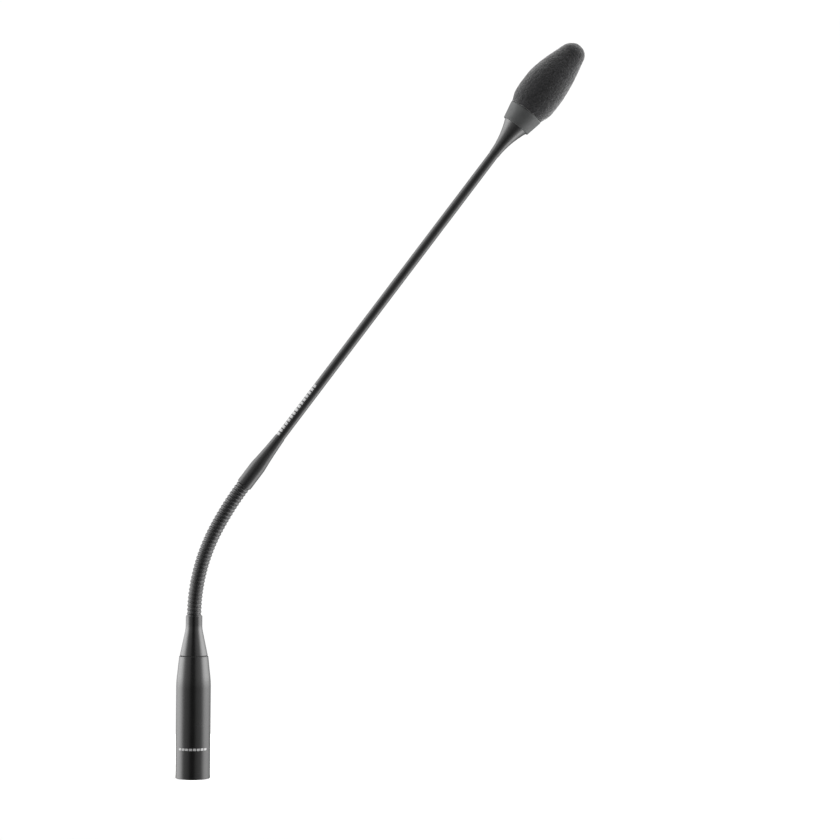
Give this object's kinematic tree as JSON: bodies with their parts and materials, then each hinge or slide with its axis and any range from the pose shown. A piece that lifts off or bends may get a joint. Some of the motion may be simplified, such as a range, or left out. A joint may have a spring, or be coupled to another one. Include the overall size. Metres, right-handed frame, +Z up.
{
  "type": "gooseneck podium microphone",
  "caption": "Slim podium microphone: plug-in connector barrel, tapered cap, wound flexible neck, straight boom, light ring and pull-off foam windscreen.",
  "frame": {"origin": "centre of the connector barrel's mouth", "axes": "+Z up along the barrel, +X the way the neck bends, -Y the front; the connector's keyway and latch window face +Y"},
  "size_m": [0.2213, 0.0246, 0.4081],
  "materials": {
    "barrel_black": "satin black coating on a turned metal sleeve",
    "cap_black": "satin black coating on a turned metal cone",
    "insert_plastic": "moulded black insulator",
    "contact_silver": "silver plating, lightly rubbed",
    "spring_steel": "bare spring strip",
    "screw_black": "black oxide",
    "board_green": "green board lacquer",
    "capacitor_can": "bare drawn can",
    "chip_black": "moulded black",
    "resistor_ceramic": "dark ceramic",
    "wire_insulation": "coloured insulation",
    "clamp_nylon": "natural nylon",
    "lead_jacket": "soft matt jacket",
    "gasket_rubber": "matt black",
    "ferrule_brass": "bare turned brass",
    "neck_wire": "satin black coating on wound wire",
    "sleeve_black": "satin black coating",
    "boom_black": "satin black coating on a drawn tube",
    "flare_black": "satin black coating",
    "carrier_metal": "bare turned aluminium",
    "ring_diffuser": "smoked translucent diffuser, unlit",
    "lamp_red": "small red lamp bodies",
    "housing_black": "black coating",
    "mesh_steel": "perforated steel",
    "felt": "acoustic felt",
    "mount_rubber": "soft black rubber",
    "capsule_can": "bare drawn can",
    "film": "thin metallised film",
    "backplate_brass": "bare brass",
    "holder_plastic": "white insulator",
    "foam": "open-cell foam, fine dark grey texture"
  },
  "bodies": {
    "barrel": {"barrel_housing": "barrel_black", "xlr_insert": "insert_plastic", "xlr_pin_1": "contact_silver", "xlr_pin_2": "contact_silver", "xlr_pin_3": "contact_silver", "ground_spring": "spring_steel", "insert_lock_screw": "screw_black", "preamp_board": "board_green", "board_capacitors": "capacitor_can", "board_chip": "chip_black", "board_resistors": "resistor_ceramic", "pin_wires": "wire_insulation", "lead_clamp": "clamp_nylon", "lead_in_barrel": "lead_jacket", "seam_gasket": "gasket_rubber", "neck_cap": "cap_black", "neck_ferrule": "ferrule_brass", "neck_set_screw": "screw_black", "lead_in_neck": "lead_jacket", "neck_link_00": "neck_wire"},
    "neck_01": {"neck_link_01": "neck_wire"},
    "neck_02": {"neck_link_02": "neck_wire"},
    "neck_03": {"neck_link_03": "neck_wire"},
    "neck_04": {"neck_link_04": "neck_wire"},
    "neck_05": {"neck_link_05": "neck_wire"},
    "neck_06": {"neck_link_06": "neck_wire"},
    "neck_07": {"neck_link_07": "neck_wire"},
    "neck_08": {"neck_link_08": "neck_wire"},
    "neck_09": {"neck_link_09": "neck_wire"},
    "neck_10": {"neck_link_10": "neck_wire"},
    "neck_11": {"neck_link_11": "neck_wire"},
    "neck_12": {"neck_link_12": "neck_wire"},
    "neck_13": {"neck_link_13": "neck_wire"},
    "neck_14": {"neck_link_14": "neck_wire"},
    "neck_15": {"neck_link_15": "neck_wire"},
    "neck_16": {"neck_link_16": "neck_wire"},
    "neck_17": {"neck_link_17": "neck_wire"},
    "boom": {"neck_link_18": "neck_wire", "joining_sleeve": "sleeve_black", "boom_tube": "boom_black", "lead_in_boom": "lead_jacket", "head_flare": "flare_black", "ring_carrier": "carrier_metal", "light_ring": "ring_diffuser", "lamp_board": "board_green", "ring_lamps": "lamp_red", "ring_retainer": "carrier_metal", "capsule_housing": "housing_black", "front_mesh": "mesh_steel", "rear_felt": "felt", "capsule_mount": "mount_rubber", "capsule_can": "capsule_can", "capsule_diaphragm": "film", "diaphragm_ring": "capsule_can", "capsule_backplate": "backplate_brass", "backplate_holder": "holder_plastic", "capsule_board": "board_green", "capsule_transistor": "chip_black", "capsule_wires": "wire_insulation"},
    "windscreen": {"windscreen": "foam"}
  },
  "joints": [
    {"name": "neck_forward", "type": "hinge", "parent": "barrel", "child": "neck_01", "pos_m": [0.00002, 0, 0.09168], "axis": [0, 1, 0], "range_deg": [-9, 6], "deforming": ["lead_in_neck"]},
    {"name": "neck_side", "type": "hinge", "parent": "neck_01", "child": "neck_02", "pos_m": [0.0002, 0, 0.09604], "axis": [0.998, 0, -0.0627], "range_deg": [-7, 7]},
    {"name": "neck_forward_2", "type": "hinge", "parent": "neck_02", "child": "neck_03", "pos_m": [0.00057, 0, 0.10038], "axis": [0, 1, 0], "range_deg": [-9, 6]},
    {"name": "neck_side_2", "type": "hinge", "parent": "neck_03", "child": "neck_04", "pos_m": [0.00112, 0, 0.10471], "axis": [0.9893, 0, -0.146], "range_deg": [-7, 7]},
    {"name": "neck_forward_3", "type": "hinge", "parent": "neck_04", "child": "neck_05", "pos_m": [0.00184, 0, 0.109], "axis": [0, 1, 0], "range_deg": [-9, 6]},
    {"name": "neck_side_3", "type": "hinge", "parent": "neck_05", "child": "neck_06", "pos_m": [0.00275, 0, 0.11327], "axis": [0.9736, 0, -0.2282], "range_deg": [-7, 7]},
    {"name": "neck_forward_4", "type": "hinge", "parent": "neck_06", "child": "neck_07", "pos_m": [0.00383, 0, 0.11749], "axis": [0, 1, 0], "range_deg": [-9, 6]},
    {"name": "neck_side_4", "type": "hinge", "parent": "neck_07", "child": "neck_08", "pos_m": [0.00509, 0, 0.12167], "axis": [0.9511, 0, -0.3088], "range_deg": [-7, 7]},
    {"name": "neck_forward_5", "type": "hinge", "parent": "neck_08", "child": "neck_09", "pos_m": [0.00652, 0, 0.12578], "axis": [0, 1, 0], "range_deg": [-9, 6]},
    {"name": "neck_side_5", "type": "hinge", "parent": "neck_09", "child": "neck_10", "pos_m": [0.00813, 0, 0.12984], "axis": [0.922, 0, -0.3872], "range_deg": [-7, 7]},
    {"name": "neck_forward_6", "type": "hinge", "parent": "neck_10", "child": "neck_11", "pos_m": [0.0099, 0, 0.13382], "axis": [0, 1, 0], "range_deg": [-9, 6]},
    {"name": "neck_side_6", "type": "hinge", "parent": "neck_11", "child": "neck_12", "pos_m": [0.01184, 0, 0.13773], "axis": [0.8867, 0, -0.4624], "range_deg": [-7, 7]},
    {"name": "neck_forward_7", "type": "hinge", "parent": "neck_12", "child": "neck_13", "pos_m": [0.0139, 0, 0.14157], "axis": [0, 1, 0], "range_deg": [-9, 6]},
    {"name": "neck_side_7", "type": "hinge", "parent": "neck_13", "child": "neck_14", "pos_m": [0.01605, 0, 0.14536], "axis": [0.8631, 0, -0.505], "range_deg": [-7, 7]},
    {"name": "neck_forward_8", "type": "hinge", "parent": "neck_14", "child": "neck_15", "pos_m": [0.0183, 0, 0.14909], "axis": [0, 1, 0], "range_deg": [-9, 6]},
    {"name": "neck_side_8", "type": "hinge", "parent": "neck_15", "child": "neck_16", "pos_m": [0.02064, 0, 0.15277], "axis": [0.8376, 0, -0.5464], "range_deg": [-7, 7]},
    {"name": "neck_forward_9", "type": "hinge", "parent": "neck_16", "child": "neck_17", "pos_m": [0.02306, 0, 0.1564], "axis": [0, 1, 0], "range_deg": [-9, 6]},
    {"name": "neck_side_9", "type": "hinge", "parent": "neck_17", "child": "boom", "pos_m": [0.02558, 0, 0.15996], "axis": [0.81, 0, -0.5864], "range_deg": [-7, 7]},
    {"name": "windscreen_pull", "type": "slide", "parent": "boom", "child": "windscreen", "axis": [0.5962, 0, 0.8028], "range_m": [0, 0.055]}
  ],
  "couplings": [
    {"joint": "neck_forward_2", "follows": "neck_forward", "ratio": 1},
    {"joint": "neck_side_2", "follows": "neck_side", "ratio": 1},
    {"joint": "neck_forward_3", "follows": "neck_forward", "ratio": 1},
    {"joint": "neck_side_3", "follows": "neck_side", "ratio": 1},
    {"joint": "neck_forward_4", "follows": "neck_forward", "ratio": 1},
    {"joint": "neck_side_4", "follows": "neck_side", "ratio": 1},
    {"joint": "neck_forward_5", "follows": "neck_forward", "ratio": 1},
    {"joint": "neck_side_5", "follows": "neck_side", "ratio": 1},
    {"joint": "neck_forward_6", "follows": "neck_forward", "ratio": 1},
    {"joint": "neck_side_6", "follows": "neck_side", "ratio": 1},
    {"joint": "neck_forward_7", "follows": "neck_forward", "ratio": 1},
    {"joint": "neck_side_7", "follows": "neck_side", "ratio": 1},
    {"joint": "neck_forward_8", "follows": "neck_forward", "ratio": 1},
    {"joint": "neck_side_8", "follows": "neck_side", "ratio": 1},
    {"joint": "neck_forward_9", "follows": "neck_forward", "ratio": 1},
    {"joint": "neck_side_9", "follows": "neck_side", "ratio": 1}
  ]
}
